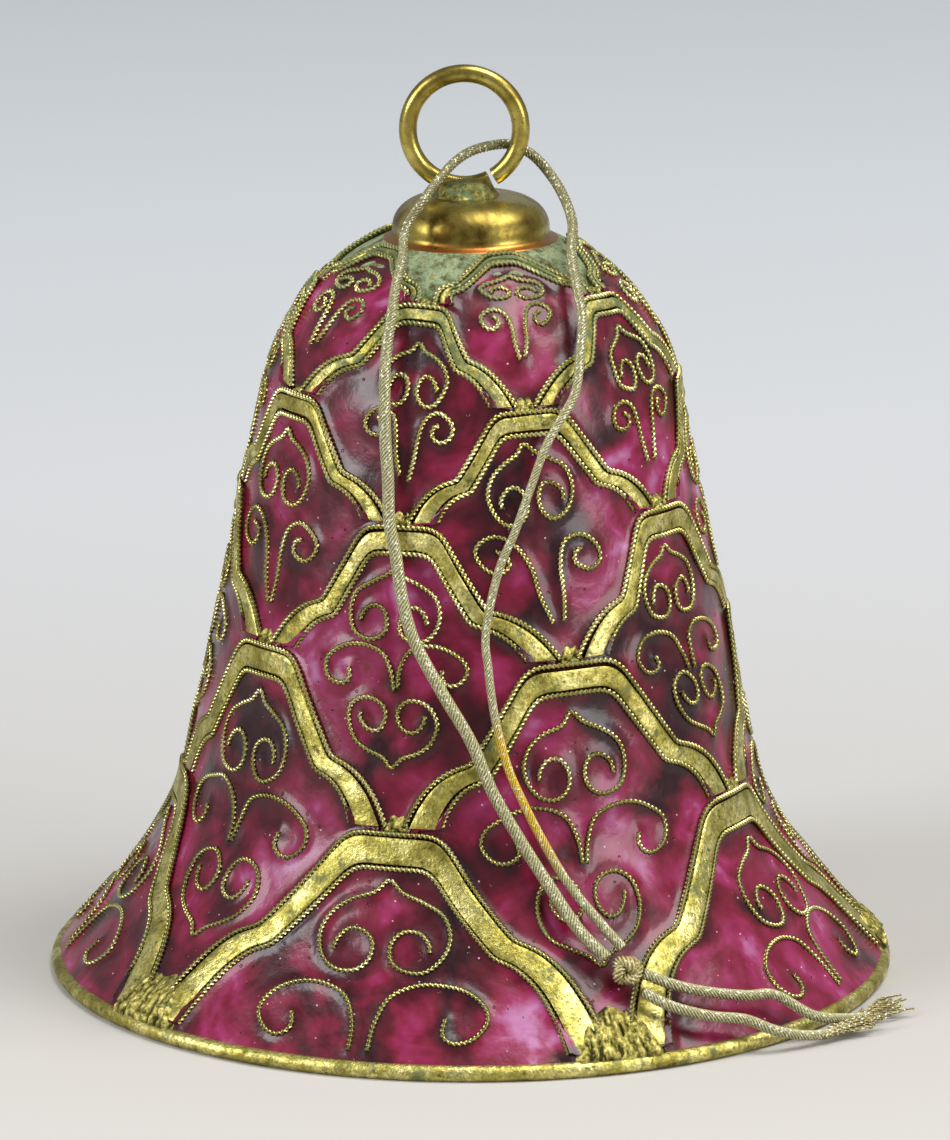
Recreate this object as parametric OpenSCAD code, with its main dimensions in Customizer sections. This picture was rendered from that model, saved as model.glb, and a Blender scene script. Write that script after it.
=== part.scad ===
// Enamelled filigree bell ornament: a thin bell with rows of gilt arches, a split
// ring on a domed cap, a swinging clapper and a knotted thread loop.
// Millimetres, +Z up the bell, origin on the standing surface at the mouth's centre,
// front towards -Y. The ribbons' outer face is the driving surface of the bell.

/* [Bell] */
// Mouth radius over the ribbons
mouth_r = 26.2; // [25:0.1:27]
// Radius where the flare ends
waist_r = 18; // [17.5:0.1:18.5]
// Height where the flare ends
waist_z = 12.6; // [12:0.1:13.2]
// Radius where the shoulder starts
shoulder_r = 13.1; // [12.8:0.1:13.4]
// Height where the shoulder starts
shoulder_z = 36.2; // [35.8:0.1:36.6]
// Radius of the flat crown under the cap
crown_r = 5.4; // [5.3:0.1:5.6]
// Height of the crown over the ribbons
crown_z = 46.2; // [46:0.1:46.4]
// Thickness of the copper shell
shell_t = 0.45; // [0.35:0.05:0.5]
// Radius of the round bead at the mouth
bead_r = 0.5; // [0.45:0.01:0.52]

/* [Ribbons and wires] */
// Depth of the ribbons' face above the shell
ribbon_t = 0.53; // [0.45:0.01:0.53]
// Width of a twisted wire
wire_w = 0.42; // [0.3:0.02:0.46]
// How far a twisted edge wire stands above the ribbon
wire_proud = 0.1; // [0.05:0.05:0.15]
// How far the enamel lies below the ribbon
enamel_low = 0.2; // [0.15:0.05:0.3]

/* [Cap and ring] */
// Radius of the cap's flange
cap_r = 5.4; // [5.1:0.05:5.4]
// Height of the cap's top
cap_top = 48.6; // [48.45:0.05:48.6]
// Mean radius of the hanging ring
ring_r = 3.45; // [3.3:0.05:3.5]
// Radius of the ring's wire
ring_wire = 0.55; // [0.5:0.01:0.55]
// Height of the ring's centre
ring_z = 52.65; // [52.65:0.1:53.15]

/* [Clapper] */
// Radius of the staple, link and eye, at the middle of the wire
eye_r = 1.2; // [1.15:0.05:1.3]
// Radius of their wire
eye_wire = 0.35; // [0.3:0.01:0.36]
// Radius of the clapper's ball
ball_r = 3; // [2.5:0.1:3]
// Height of the ball's centre
ball_z = 11; // [10.5:0.1:12]

/* [Cord] */
// Diameter of the cord
cord_d = 0.76; // [0.7:0.02:0.8]

/* [Hidden] */
rows = 5;
per_row = 5;
gap = 0.03;
seat_gap = 0.15;
enamel_gap = 0.25;
foot_gap = 0.3;
mid_depth = 0.25;
run_step = 2;
reach = 40;
fine = 64;
ring_x = -0.4;
rim_run = 0.7;
shell_top = -ribbon_t - 0.02;
shell_in = shell_top - shell_t;
shell_foot_z = 0.92;
bead_centre = [mouth_r - 0.45, 0.5];

// Row by row from the mouth up: where the feet and the apex are, along the profile
foot_run = [rim_run, 15, 25, 33.3, 40.3, 47];
apex_run = [15, 25, 33.3, 40.3, 47, 51.4];
// Width of a ribbon with its two edge wires
band_w = [2.5, 2.2, 2, 1.8, 1.6, 1.2];
// Place of an arch's cusp, as shares of its half width and of its height
cusp_at = [[0.64, 0.53], [0.61, 0.41], [0.55, 0.41], [0.58, 0.41], [0.53, 0.46], [0.74, 0.4]];
// Elevation of the surface's normal at the middle of each row
tilt = [34, 24, 16, 18, 30, 46];
// Where each arch stands round the bell, from the front towards +X, in degrees. The arches
// were set by eye, so they aren't quite even. Each stands between two of the row below.
rim_turn = [-51, 20.5, 92.5, 164.5, 236.5];
apex_turn = [
    [-15, 64, 135, 205, 275],
    [22, 94, 165, 236, 308],
    [54, 126, 198, 270, 342],
    [87, 159, 231, 303, 375],
    [127, 199, 271, 343, 415],
    [162, 234, 306, 377, 450]
];
// Filigree of each row: half width, lowest and highest run of the heart, of the pair of
// scrolls under it and, in two rows, of the heart that hangs upside down below them
heart = [[4.2, 6.1, 11.8], [3.4, 16.8, 22], [2.85, 26.5, 30.8], [2.85, 33.6, 38], [2.25, 40.7, 44.6],
    [2, 47.5, 49.3]];
scroll = [[7.2, 1.7, 5.5], [6.1, 12.8, 16.1], [4.7, 23.5, 25.9], [4.2, 27.4, 32.5], [3, 36, 40.1],
    [2.4, 43.4, 46.9]];
low_heart = [[], [3.4, 11.8, 6.2], [2.8, 22.7, 18.6], [], [], []];
// Half width of an arch, in degrees, that takes its filigree at full width
full_fit = 35;
// Half of a heart from its tip round to the end of its curl, in shares of its half width
// and height, and a scroll with a wide arm and one with a long stem, from the foot up
heart_line = [[0, 1], [0.21, 0.87], [0.55, 0.77], [0.86, 0.62], [1, 0.38], [0.92, 0.14], [0.66, 0.01],
    [0.33, 0.02], [0.13, 0.17], [0.15, 0.36], [0.34, 0.43], [0.53, 0.36]];
wide_line = [[0.05, 0], [0.08, 0.42], [0.18, 0.83], [0.38, 1], [0.6, 1], [0.8, 0.88], [0.96, 0.65],
    [1, 0.38], [0.91, 0.15], [0.76, 0.1], [0.65, 0.25], [0.66, 0.47]];
stem_line = [[0.1, 0], [0.2, 0.32], [0.24, 0.62], [0.36, 0.89], [0.6, 1], [0.84, 0.96], [1, 0.82],
    [0.93, 0.65], [0.71, 0.6], [0.56, 0.7], [0.6, 0.82]];

// Route of the cord. Points on the bell are [turn in degrees, run up the profile]; points
// in the air or on the standing surface are [x, y, z].
cord_lift = 0.9;
left_leg = [[21, 6.5], [17.5, 8.5], [13.5, 11.5], [9, 14.5], [4, 17.5], [0, 20.5], [-6, 23.5], [-12, 26.5],
    [-15, 29], [-17, 31.5], [-19, 33.5], [-20, 36], [-21.5, 38.5], [-22.5, 40.5], [-24, 43], [-25.5, 45.5],
    [-28, 47.5], [-31.5, 49.5]];
through_ring = [[-3.95, -5, 47.4], [-2.8, -4, 49.1], [-1.8, -2.2, 50.1], [-0.95, -0.9, 50.8],
    [0, -0.2, 51.3], [1.2, 0.4, 51.55], [2.4, 1, 51.5], [3.7, 1.1, 50.9], [4.8, 0.7, 49.8],
    [5.7, -0.4, 48.5], [6.2, -2.2, 47.2]];
right_leg = [[50.5, 49.5], [40, 47], [36, 45], [31.5, 43], [28, 41], [23, 39.5], [18.5, 38], [14, 35.5],
    [10, 33], [6.5, 31], [4, 28.5], [3, 26.5], [3.5, 25], [4, 23.5], [5, 21.5], [7, 19], [9.5, 17],
    [13, 14.5], [17, 11.5], [21, 9], [24, 7]];
knot_at = [23.5, 5.5];
knot_r = 0.95;
inner_tail = [[26, 5.2], [30, 4.2], [35, 3.3], [41, 2.5], [46, 2]];
inner_tail_end = [[20.6, -17.7, 1.6], [22.3, -16.4, 1], [23.8, -14.8, 0.6], [24.9, -13.3, 0.5]];
outer_tail = [[25, 4], [29, 2.7], [34, 1.7], [39, 1]];
outer_tail_end = [[18.3, -20.2, 1.4], [20.1, -19.2, 0.8], [21.6, -17.9, 0.5], [22.9, -16.5, 0.5]];

function arch_name(i, k) = str("arch_", i, "_", k);

// ---- the bell's profile: three smooth stretches, as a table of run, radius, height, normal
lip = [mouth_r, 0.8];
waist = [waist_r, waist_z];
shoulder = [shoulder_r, shoulder_z];
crown = [crown_r, crown_z];
stretches = [
    [lip, lip + [-3.2, 3.4], waist + [1, -4], waist],
    [waist, waist + [-1, 4.4], shoulder + [1.5, -7.2], shoulder],
    [shoulder, shoulder + [-0.8, 4.3], crown + [4.6, -2], crown]
];
samples = 40;
function cubic(p, t) =
    pow(1 - t, 3) * p[0] + 3 * pow(1 - t, 2) * t * p[1] + 3 * (1 - t) * t * t * p[2] + pow(t, 3) * p[3];
function cubic_slope(p, t) =
    pow(1 - t, 2) * (p[1] - p[0]) + 2 * (1 - t) * t * (p[2] - p[1]) + t * t * (p[3] - p[2]);
function unit(v) = v / norm(v);
function outward(v) = unit([v[1], -v[0]]);
profile = concat([for (s = stretches, t = [0:samples - 1]) cubic(s, t / samples)], [crown]);
normals = concat([for (s = stretches, t = [0:samples - 1]) outward(cubic_slope(s, t / samples))],
    [outward(cubic_slope(stretches[2], 1))]);
run_to = [for (i = 0, s = 0; i < len(profile);
    s = s + (i + 1 < len(profile) ? norm(profile[i + 1] - profile[i]) : 0), i = i + 1) s];
full_run = run_to[len(run_to) - 1];
function column(list, c) = [for (i = [0:len(run_to) - 1]) [run_to[i], list[i][c]]];
radius_at = column(profile, 0);
height_at = column(profile, 1);
normal_r = column(normals, 0);
normal_z = column(normals, 1);
// A point of the profile at this run, moved out along the normal
function skin(run, out = 0) = [
    lookup(run, radius_at) + out * lookup(run, normal_r),
    lookup(run, height_at) + out * lookup(run, normal_z)];
// The angle that a length across the bell takes at this run
function across(mm, run) = mm / skin(run)[0] * 180 / PI;
function on_bell(turn, run, out) =
    let (p = skin(run, out)) [p[0] * sin(turn), -p[0] * cos(turn), p[1]];

// ---- a layer of the bell between two depths and two runs, its breaks at the same runs
function breaks(from, to) = [for (j = [floor(from / run_step):ceil(to / run_step)])
    min(max(j * run_step, 0), full_run)];
function distinct(list) = [for (i = [0:len(list) - 1]) if (i == 0 || list[i] - list[i - 1] > 0.01) list[i]];
module layer(from, to, inner, outer) {
    at = distinct(breaks(from, to));
    rotate_extrude($fn = fine)
        polygon(concat([for (s = at) skin(s, inner)], [for (i = [len(at) - 1:-1:0]) skin(at[i], outer)]));
}
// What lies in front of an outline of [turn, run] points, along the middle normal of its row
function flat(p, lean) =
    let (q = on_bell(p[0], p[1], -mid_depth)) [q[0], q[1] * sin(lean) + q[2] * cos(lean)];
module in_front(turn, lean, run, outline) {
    rotate([90 - lean, 0, turn])
        translate([0, 0, skin(run)[1] * sin(lean)])
            linear_extrude(reach)
                polygon([for (p = outline) flat(p, lean)]);
}

// ---- half of an arch as [turn from its middle, run]: share 0 is its outer edge, 1 its inner
function bend(a, b, c, t) = (1 - t) * (1 - t) * a + 2 * (1 - t) * t * b + t * t * c;
function narrower(turn, mm, run) = [turn - across(mm, run), run];
function half_arch(i, half_turn, share) = let (
    w = band_w[i] * share,
    rise = apex_run[i] - foot_run[i],
    top = apex_run[i] - w,
    cusp_run = foot_run[i] + cusp_at[i][1] * rise,
    corner = narrower(0.27 * half_turn, 0.3 * w, top),
    cusp = narrower(cusp_at[i][0] * half_turn, 0.65 * w, cusp_run - 0.5 * w),
    lobe = narrower((cusp_at[i][0] + 0.25) * half_turn, 0.9 * w, cusp_run - 0.05 * rise - 0.5 * w),
    foot = narrower(half_turn, foot_gap + 1.3 * w, foot_run[i] + seat_gap),
    before = [corner[0] * 0.7, top],
    after = corner * 0.82 + cusp * 0.18)
    concat([[0, top], before], [bend(before, corner, after, 0.5), after],
        [for (t = [0:0.25:1]) bend(cusp, lobe, foot, t)]);
function reversed(list) = [for (i = [len(list) - 1:-1:0]) list[i]];
function turned(list, middle, way) = [for (p = list) [middle + way * p[0], p[1]]];
// The apex of each arch, and the turns of its two feet
function foot_turns(i) = i == 0 ? rim_turn : apex_turn[i - 1];
function left_foot(i, k) = foot_turns(i)[k];
function right_foot(i, k) = k + 1 < per_row ? foot_turns(i)[k + 1] : foot_turns(i)[0] + 360;
// An arch's edge at this share, from its left foot to its right foot, about its own apex
function arch_line(i, k, share) = concat(
    reversed(turned(half_arch(i, apex_turn[i][k] - left_foot(i, k), share), 0, -1)),
    [for (j = [1:len(half_arch(i, 10, 0)) - 1])
        half_arch(i, right_foot(i, k) - apex_turn[i][k], share)[j]]);
function arch_band(i, k, from, to) = concat(arch_line(i, k, from), reversed(arch_line(i, k, to)));

module band(i, k, from, to) {
    in_front(apex_turn[i][k], tilt[i], foot_run[i], arch_band(i, k, from, to));
}

// One flat ribbon bent to a lobed arch
module arch(i, k) {
    edge = (wire_w + gap) / band_w[i];
    color("goldenrod") intersection() {
        layer(foot_run[i], apex_run[i], -ribbon_t, 0);
        band(i, k, edge, 1 - edge);
    }
}
module arch_row_6() {
    for (k = [0:per_row - 1])
        arch(rows, k);
}

// The twisted wires along both edges of every ribbon of a row
module edge_wires(i) {
    share = wire_w / band_w[i];
    color("darkgoldenrod")
        for (k = [0:per_row - 1], from = [0, 1 - share])
            intersection() {
                layer(foot_run[i], apex_run[i], -ribbon_t, wire_proud);
                band(i, k, from, from + share);
            }
}

// One enamel fill: under its own ribbon, and above the two ribbons of the row below
function above_lower(i, half_turn, lower_half) = let (
    share = -enamel_gap / band_w[i - 1],
    line = half_arch(i - 1, lower_half, share))
    [for (j = [3:len(line) - 1])
        let (turn = half_turn - line[j][0])
        if (turn > half_turn - lower_half + across(enamel_gap, line[j][1])) [turn, line[j][1]]];
function along_rim(from, to) = [for (t = [1:11]) [from + (to - from) * t / 12, rim_run + seat_gap]];
function enamel_outline(i, k) = let (
    middle = apex_turn[i][k],
    left = middle - left_foot(i, k),
    right = right_foot(i, k) - middle,
    share = 1 + 2 * gap / band_w[i],
    own_right = half_arch(i, right, share),
    own_left = turned(half_arch(i, left, share), 0, -1),
    below = i == 0 ? 0 : right_foot(i - 1, k) - middle)
    concat(own_right,
        i == 0
            ? along_rim(own_right[len(own_right) - 1][0], own_left[len(own_left) - 1][0])
            : concat(above_lower(i, right, right - below),
                reversed(turned(above_lower(i, left, left + below), 0, -1))),
        [for (j = [len(own_left) - 1:-1:1]) own_left[j]]);
module enamel(i) {
    lowest = i < 2 ? 0 : foot_run[i - 1];
    color("mediumvioletred")
        for (k = [0:per_row - 1])
            intersection() {
                layer(lowest, apex_run[i], -ribbon_t, -enamel_low);
                in_front(apex_turn[i][k], tilt[i], foot_run[i], enamel_outline(i, k));
            }
}

// ---- filigree: lines widened to wires
function side(p, j) =
    let (v = unit(p[min(j + 1, len(p) - 1)] - p[max(j - 1, 0)])) [-v[1], v[0]];
function widened(p, width) = concat(
    [for (j = [0:len(p) - 1]) p[j] + side(p, j) * width / 2],
    [for (j = [len(p) - 1:-1:0]) p[j] - side(p, j) * width / 2]);
// A narrow arch has narrower filigree, whose foot leans to the valley between the arches below
function fit(i, k) = let (apex = apex_turn[i][k])
    min(1, min(apex - left_foot(i, k), right_foot(i, k) - apex) / full_fit);
function lean(i, k, run) = i == 0 ? 0 :
    let (valley = right_foot(i - 1, k) - apex_turn[i][k],
        share = (heart[i][1] - run) / (heart[i][1] - foot_run[i - 1]))
    max(0, min(1, share)) * valley * PI / 180 * skin(run)[0];
function sized(line, size, i, k, way) = [for (p = line)
    let (run = size[1] + p[1] * (size[2] - size[1]))
    [way * p[0] * size[0] * fit(i, k) + lean(i, k, run), run]];
function both_halves(line, size, i, k) = let (left = sized(line, size, i, k, -1))
    concat([for (j = [len(left) - 1:-1:1]) left[j]], sized(line, size, i, k, 1));
function wire_lines(i, k) = concat(
    [both_halves(heart_line, heart[i], i, k)],
    len(low_heart[i]) > 0 ? [both_halves(heart_line, low_heart[i], i, k)] : [],
    [for (way = [-1, 1]) sized(i < 3 ? wide_line : stem_line, scroll[i], i, k, way)]);
module filigree(i) {
    lowest = low_heart[i] ? low_heart[i][2] : scroll[i][1];
    color("khaki")
        for (k = [0:per_row - 1], line = wire_lines(i, k))
            intersection() {
                layer(lowest, heart[i][2] + 0.5, gap - enamel_low, gap);
                in_front(apex_turn[i][k], tilt[i], foot_run[i],
                    [for (p = widened(line, wire_w)) [across(p[0], p[1]), p[1]]]);
            }
}

// ---- the bell itself
module bell_shell() {
    at = breaks(0, full_run);
    crown_floor = skin(full_run, shell_in)[1];
    color("chocolate") difference() {
        rotate_extrude($fn = fine)
            polygon(concat([for (s = at) skin(s, shell_in)], [[0, crown_floor], [0, crown_floor + shell_t]],
                [for (s = reversed(at)) skin(s, shell_top)]));
        translate([0, 0, -reach + shell_foot_z])
            cylinder(h = reach, r = mouth_r + 5, $fn = fine);
    }
}
// A round wire at the mouth, worn to a narrow flat where the bell stands
module rim_bead() {
    color("gold") rotate_extrude($fn = fine)
        intersection() {
            translate([bead_centre[0], bead_centre[1] - 0.04])
                circle(r = bead_r, $fn = 32);
            translate([mouth_r - 2, 0])
                square([4, 2]);
        }
}
// Lumps of solder where the lowest ribbons meet
module foot_solder() {
    low = rim_run + 0.2;
    high = rim_run + 2.4;
    wide = across(0.9, 1);
    narrow = across(0.5, 3);
    color("olive")
        for (turn = rim_turn)
            intersection() {
                layer(0, 6, wire_proud + 0.02, wire_proud + 0.25);
                in_front(turn, tilt[0], foot_run[0],
                    [[-wide, low], [wide, low], [narrow, high], [-narrow, high]]);
            }
}

// ---- cap and ring
cap_foot = crown_z - 0.5;
cap_wall = 0.4;
function cap_curve(inset) = let (
    bulge = cap_r - 0.25 - inset,
    top = cap_top - inset,
    low = cap_foot + 0.75)
    concat([for (a = [0:9:72]) [2.4 + (bulge - 2.4) * cos(a), low + (top - low) * sin(a)]], [[0, top]]);
module crown_cap() {
    outer = cap_curve(0);
    inner = cap_curve(cap_wall);
    color("darkkhaki") rotate_extrude($fn = fine)
        polygon(concat(
            [[cap_r, cap_foot], [cap_r, cap_foot + 0.35], [cap_r - 0.15, cap_foot + 0.5]], outer,
            reversed(inner), [[cap_r - 0.65, cap_foot]]));
}
module ring_body(extra) {
    split = -66;
    opening = extra > 0 ? 0 : 5;
    translate([ring_x, 0, ring_z])
        rotate([90, 0, 0])
            rotate([0, 0, split + opening / 2])
                rotate_extrude(angle = 360 - opening, $fn = fine)
                    translate([ring_r, 0])
                        circle(r = ring_wire + extra, $fn = 32);
}
module hanging_ring() {
    color("gold") ring_body(0);
}
module ring_solder() {
    blob = [2.1, 0.75];
    color("darkolivegreen") difference() {
        translate([ring_x, 0, cap_top + 0.02])
            cylinder(h = blob[1], r1 = blob[0], r2 = blob[0] * 0.55, $fn = fine);
        ring_body(0.02);
    }
}

// ---- clapper chain, from the staple down
crown_under = skin(full_run, shell_in)[1];
link_play = 0.05;
ring_pitch = 2 * eye_r - 2 * eye_wire - link_play;
staple_z = crown_under - 2;
link_z = staple_z - ring_pitch;
eye_z = link_z - ring_pitch;
module wire_ring(z, facing, angle = 360) {
    translate([0, 0, z])
        rotate([90, 0, facing])
            rotate([0, 0, 180])
                rotate_extrude(angle = angle, $fn = fine)
                    translate([eye_r, 0])
                        circle(r = eye_wire, $fn = 32);
}
module clapper_staple() {
    color("peru") {
        wire_ring(staple_z, 0, 180);
        for (x = [-eye_r, eye_r])
            translate([x, 0, staple_z])
                cylinder(h = crown_under - 0.02 - staple_z, r = eye_wire, $fn = 32);
    }
}
module clapper_link() {
    color("gold") wire_ring(link_z, 90);
}
module clapper_wire() {
    color("gold") {
        wire_ring(eye_z, 0);
        translate([0, 0, ball_z])
            cylinder(h = eye_z - eye_r - ball_z, r = eye_wire, $fn = 32);
    }
}
module clapper_ball() {
    color("goldenrod") difference() {
        translate([0, 0, ball_z])
            sphere(r = ball_r, $fn = fine);
        translate([0, 0, ball_z - 0.05])
            cylinder(h = ball_r + 1, r = eye_wire + 0.03, $fn = 32);
    }
}

// ---- cord: a tube swept along its route, eight sides, one ring at each point
function laid(points) = [for (p = points) on_bell(p[0], p[1], cord_lift)];
sides = 8;
function swept_ring(route, i, r) = let (
    along = unit(route[min(i + 1, len(route) - 1)] - route[max(i - 1, 0)]),
    a = unit(cross(along, [0, 1, 0])),
    b = cross(a, along))
    [for (j = [0:sides - 1]) route[i] + r * (cos(360 * j / sides) * a + sin(360 * j / sides) * b)];
module tube(route, r) {
    n = len(route);
    walls = [for (i = [0:n - 2], j = [0:sides - 1])
        let (a = i * sides + j, b = i * sides + (j + 1) % sides) [a, b, b + sides, a + sides]];
    first = [for (j = [sides - 1:-1:0]) j];
    last = [for (j = [0:sides - 1]) (n - 1) * sides + j];
    polyhedron(
        points = [for (i = [0:n - 1], p = swept_ring(route, i, r)) p],
        faces = concat(walls, [first, last]));
}
knot_centre = on_bell(knot_at[0], knot_at[1], cord_lift + 0.3);
module cord() {
    color("palegoldenrod") tube(concat(laid(left_leg), through_ring, laid(right_leg)), cord_d / 2);
}
module cord_knot() {
    color("palegoldenrod") translate(knot_centre) sphere(r = knot_r, $fn = 32);
}
module cord_tails() {
    color("palegoldenrod") {
        tube(concat(laid(inner_tail), inner_tail_end), cord_d / 2);
        tube(concat(laid(outer_tail), outer_tail_end), cord_d / 2);
    }
}
// The brushed-out thread past each tail: a short flat-lying cone
module fray(route) {
    last = route[len(route) - 1];
    along = unit(last - route[len(route) - 2]);
    heading = atan2(along[1], along[0]);
    translate(last + [along[0], along[1], 0] * 0.05)
        rotate([0, 90, heading])
            cylinder(h = 2.2, r1 = cord_d / 2, r2 = 0.45, $fn = 24);
}
module cord_frays() {
    color("khaki") {
        fray(inner_tail_end);
        fray(outer_tail_end);
    }
}

bell_shell();
rim_bead();
crown_cap();
hanging_ring();
ring_solder();
foot_solder();
for (i = [1:rows], k = [1:per_row])
    arch(i - 1, k - 1);
arch_row_6();
for (i = [1:rows + 1]) {
    edge_wires(i - 1);
    enamel(i - 1);
    filigree(i - 1);
}
clapper_staple();
clapper_link();
clapper_wire();
clapper_ball();
cord();
cord_knot();
cord_tails();
cord_frays();
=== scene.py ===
# %% [markdown]
# A small bell of enamelled filigree, about 57 mm tall. Copper carries rows of gilt ribbons bent
# to pointed arches, with twisted wire along both edges, curls of the same wire inside every
# arch and ruby enamel melted between them. The CAD frame gives each piece its place; this
# lesson gives each one its real surface.

# %% The frame
import math
from functools import partial

import bpy
import numpy as np
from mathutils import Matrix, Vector, noise


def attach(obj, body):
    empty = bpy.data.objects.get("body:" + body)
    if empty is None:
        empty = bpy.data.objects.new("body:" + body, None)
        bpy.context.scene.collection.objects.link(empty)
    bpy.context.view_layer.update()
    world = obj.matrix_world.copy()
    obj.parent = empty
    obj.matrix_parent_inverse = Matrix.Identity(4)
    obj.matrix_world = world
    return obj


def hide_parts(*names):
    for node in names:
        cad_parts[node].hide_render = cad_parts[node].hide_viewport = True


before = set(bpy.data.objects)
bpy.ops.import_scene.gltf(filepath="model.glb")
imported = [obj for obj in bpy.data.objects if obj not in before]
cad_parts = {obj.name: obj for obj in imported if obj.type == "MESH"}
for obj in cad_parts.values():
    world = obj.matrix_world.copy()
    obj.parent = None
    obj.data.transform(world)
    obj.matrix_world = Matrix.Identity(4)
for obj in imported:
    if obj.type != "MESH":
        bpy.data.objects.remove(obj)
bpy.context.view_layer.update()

MM = 0.001

# %% [markdown]
# The camera comes first, because everything after it is judged through it. It stands 450 mm
# away and looks down by 13.5 degrees, with a long lens, as for a small thing on a table.

# %% The camera
eye_distance = 450
eye_lift = math.radians(13.5)
middle_height = 25.6
aim_right, aim_down = 0.25, 0.62
eye = Vector((0, -eye_distance * math.cos(eye_lift), middle_height + eye_distance * math.sin(eye_lift)))
aim = Vector((aim_right, -aim_down * math.sin(eye_lift), middle_height - aim_down * math.cos(eye_lift)))
bpy.ops.object.camera_add(location=eye * MM, rotation=(aim - eye).to_track_quat("-Z", "Y").to_euler())
camera = bpy.context.object
camera.data.sensor_width = 36
camera.data.lens = 229.5
camera.data.clip_start, camera.data.clip_end = 0.01, 20
bpy.context.scene.camera = camera
print("camera at", [round(v) for v in eye], "mm")

# %% [markdown]
# Every ornament on this bell is bent to one curved skin: the outer face of the ribbons. Its
# profile is three smooth stretches, the flare, the side and the shoulder. We tabulate it once.
# A place on the bell is then two numbers, the turn round it in degrees and the run up the
# profile in millimetres, and a third says how far it stands out from the skin.

# %% The bell's skin
LIP, WAIST, SHOULDER, CROWN = (np.array(p) for p in ([26.2, 0.8], [18, 12.6], [13.1, 36.2], [5.4, 46.2]))
STRETCHES = [(LIP, LIP + [-3.2, 3.4], WAIST + [1, -4], WAIST),
             (WAIST, WAIST + [-1, 4.4], SHOULDER + [1.5, -7.2], SHOULDER),
             (SHOULDER, SHOULDER + [-0.8, 4.3], CROWN + [4.6, -2], CROWN)]


def lengths(line):
    return np.concatenate([[0], np.cumsum(np.linalg.norm(np.diff(line, axis=0), axis=1))])


def cubic(p, t):
    return (1 - t) ** 3 * p[0] + 3 * (1 - t) ** 2 * t * p[1] + 3 * (1 - t) * t * t * p[2] + t ** 3 * p[3]


profile = np.vstack([cubic(s, np.linspace(0, 1, 120, endpoint=False)[:, None]) for s in STRETCHES] + [CROWN])
run_at = lengths(profile)
slope = np.gradient(profile, axis=0)
outward = np.column_stack([slope[:, 1], -slope[:, 0]]) / np.linalg.norm(slope, axis=1)[:, None]
FULL_RUN = run_at[-1]


def skin(run, out=0.0):
    """Radius and height of the skin at a run, moved out along its normal."""
    return (np.interp(run, run_at, profile[:, 0]) + out * np.interp(run, run_at, outward[:, 0]),
            np.interp(run, run_at, profile[:, 1]) + out * np.interp(run, run_at, outward[:, 1]))


def on_bell(turn, run, out=0.0):
    radius, height = skin(run, out)
    turn = np.radians(turn)
    return np.stack([radius * np.sin(turn), -radius * np.cos(turn), height + 0 * turn], axis=-1)


def across(mm, run):
    """The turn in degrees that a length across the bell takes at a run."""
    return np.degrees(mm / skin(run)[0])


print("the profile is", round(FULL_RUN, 1), "mm from the mouth to the crown")

# %% [markdown]
# These helpers do what the hand does over and over: let go of everything, take hold of a
# piece, apply one modifier, and settle a finished piece with its place in its mesh. Settling
# also smooths it, except across sharp edges, and ties it to the bell.

# %% Helpers for the hand work
def let_go():
    if bpy.context.object and bpy.context.object.mode != "OBJECT":
        bpy.ops.object.mode_set(mode="OBJECT")
    bpy.ops.object.select_all(action="DESELECT")


def hold(*objects):
    let_go()
    for o in objects:
        o.select_set(True)
    bpy.context.view_layer.objects.active = objects[0]
    return objects[0]


def modify(o, kind, **settings):
    hold(o)
    modifier = o.modifiers.new(kind.title(), kind)
    for key, value in settings.items():
        setattr(modifier, key, value)
    bpy.ops.object.modifier_apply(modifier=modifier.name)


def joined(objects):
    o = hold(*objects)
    if len(objects) > 1:
        bpy.ops.object.join()
    return o


def settle(o, name, nodes, sharp=40):
    """Every piece made here belongs to the bell, and stands for some of its CAD nodes."""
    hold(o)
    o.name = o.data.name = name
    bpy.ops.object.transform_apply(location=True, rotation=True, scale=True)
    bpy.ops.object.shade_smooth_by_angle(angle=math.radians(sharp))
    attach(o, "bell")
    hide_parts(*nodes)
    return o


def select_open_edges():
    bpy.ops.mesh.select_all(action="DESELECT")
    bpy.ops.mesh.select_mode(type="EDGE")
    bpy.ops.mesh.select_non_manifold(extend=False, use_boundary=True)


def face_outwards():
    bpy.ops.mesh.select_all(action="SELECT")
    bpy.ops.mesh.normals_make_consistent(inside=False)
    bpy.ops.object.mode_set(mode="OBJECT")


def points_of(o):
    flat = np.empty(len(o.data.vertices) * 3)
    o.data.vertices.foreach_get("co", flat)
    return flat.reshape(-1, 3)


def move_points(o, points):
    o.data.vertices.foreach_set("co", np.ascontiguousarray(points, float).reshape(-1))
    o.data.update()


def wander(points, size, seed=0.0):
    """A number for each point between about -1 and 1, which drifts over patches of a size."""
    return np.array([noise.noise(Vector(p) / size + Vector((0, 0, seed))) for p in points])


def note(o, **values):
    """Stores one number a point under each name, for a material to read."""
    for key, value in values.items():
        o.data.attributes.new(key, "FLOAT", "POINT").data.foreach_set("value", np.asarray(value, float))
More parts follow.
